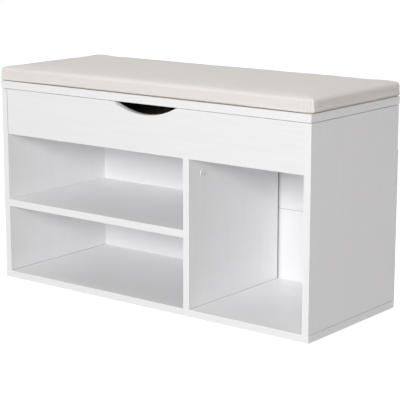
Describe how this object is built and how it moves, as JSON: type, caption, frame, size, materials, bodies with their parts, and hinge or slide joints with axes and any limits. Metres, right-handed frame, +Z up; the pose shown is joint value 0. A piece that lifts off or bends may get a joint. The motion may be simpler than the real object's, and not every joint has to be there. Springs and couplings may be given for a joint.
{
  "type": "storage bench",
  "caption": "Low entryway bench with open cubbies, a storage box under a hinged, cushioned lid, and a scooped finger opening in the front rail.",
  "frame": {"origin": "on the floor, under the middle of the side panels' depth and the middle of the bench's width", "axes": "+X along the width to the user's right, +Y to the back, +Z up"},
  "size_m": [0.803, 0.3198, 0.4655],
  "materials": {
    "white_board": "white melamine-faced particle board, satin",
    "back_panel": "thin fibreboard, white laminate",
    "zinc": "die-cast zinc",
    "bright_steel": "zinc-plated steel",
    "white_plastic": "moulded plastic",
    "beech": "plain beech",
    "felt": "felt",
    "foam": "open-cell foam",
    "seat_fabric": "off-white woven fabric"
  },
  "bodies": {
    "carcass": {"side_panel_left": "white_board", "side_panel_right": "white_board", "bottom_panel": "white_board", "divider_panel": "white_board", "shelf_panel": "white_board", "front_apron": "white_board", "box_floor": "white_board", "box_back": "white_board", "back_panel_lower": "back_panel", "back_panel_upper": "back_panel", "cam_locks": "zinc", "cam_bolts": "bright_steel", "cam_caps": "white_plastic", "wood_dowels": "beech", "bottom_screws": "bright_steel", "back_panel_nails": "bright_steel", "lid_bumpers": "felt", "hinge_lower_leaf_left": "bright_steel", "hinge_lower_leaf_right": "bright_steel", "hinge_pin_left": "bright_steel", "hinge_pin_right": "bright_steel", "hinge_lower_screws": "bright_steel", "stay_rail_left": "bright_steel", "stay_rail_right": "bright_steel", "stay_rail_screws": "bright_steel"},
    "lid": {"lid_board": "white_board", "cushion_foam": "foam", "cushion_cover": "seat_fabric", "hinge_upper_leaf_left": "bright_steel", "hinge_upper_leaf_right": "bright_steel", "hinge_upper_screws": "bright_steel", "stay_bracket_left": "bright_steel", "stay_bracket_right": "bright_steel", "stay_bracket_screws": "bright_steel", "stay_bracket_rivet_left": "bright_steel", "stay_bracket_rivet_right": "bright_steel"},
    "stay_arm_left": {"stay_arm_left": "bright_steel"},
    "stay_arm_right": {"stay_arm_right": "bright_steel"},
    "stay_slider_left": {"stay_slider_left": "white_plastic", "stay_slider_rivet_left": "bright_steel"},
    "stay_slider_right": {"stay_slider_right": "white_plastic", "stay_slider_rivet_right": "bright_steel"}
  },
  "joints": [
    {"name": "lid_hinge", "type": "hinge", "parent": "carcass", "child": "lid", "pos_m": [0, 0.1581, 0.41675], "axis": [-1, 0, 0], "range_deg": [0, 72]},
    {"name": "stay_arm_pivot_left", "type": "hinge", "parent": "lid", "child": "stay_arm_left", "pos_m": [-0.374, 0.04876, 0.40475], "axis": [-1, 0, 0], "range_deg": [-144, 0]},
    {"name": "stay_slider_pivot_left", "type": "hinge", "parent": "stay_arm_left", "child": "stay_slider_left", "pos_m": [-0.374, -0.05342, 0.36401], "axis": [-1, 0, 0], "range_deg": [0, 72]},
    {"name": "stay_arm_pivot_right", "type": "hinge", "parent": "lid", "child": "stay_arm_right", "pos_m": [0.374, 0.04876, 0.40475], "axis": [-1, 0, 0], "range_deg": [-144, 0]},
    {"name": "stay_slider_pivot_right", "type": "hinge", "parent": "stay_arm_right", "child": "stay_slider_right", "pos_m": [0.374, -0.05342, 0.36401], "axis": [-1, 0, 0], "range_deg": [0, 72]}
  ],
  "couplings": [
    {"joint": "stay_arm_pivot_left", "follows": "lid_hinge", "ratio": -2},
    {"joint": "stay_slider_pivot_left", "follows": "lid_hinge", "ratio": 1},
    {"joint": "stay_arm_pivot_right", "follows": "lid_hinge", "ratio": -2},
    {"joint": "stay_slider_pivot_right", "follows": "lid_hinge", "ratio": 1}
  ]
}
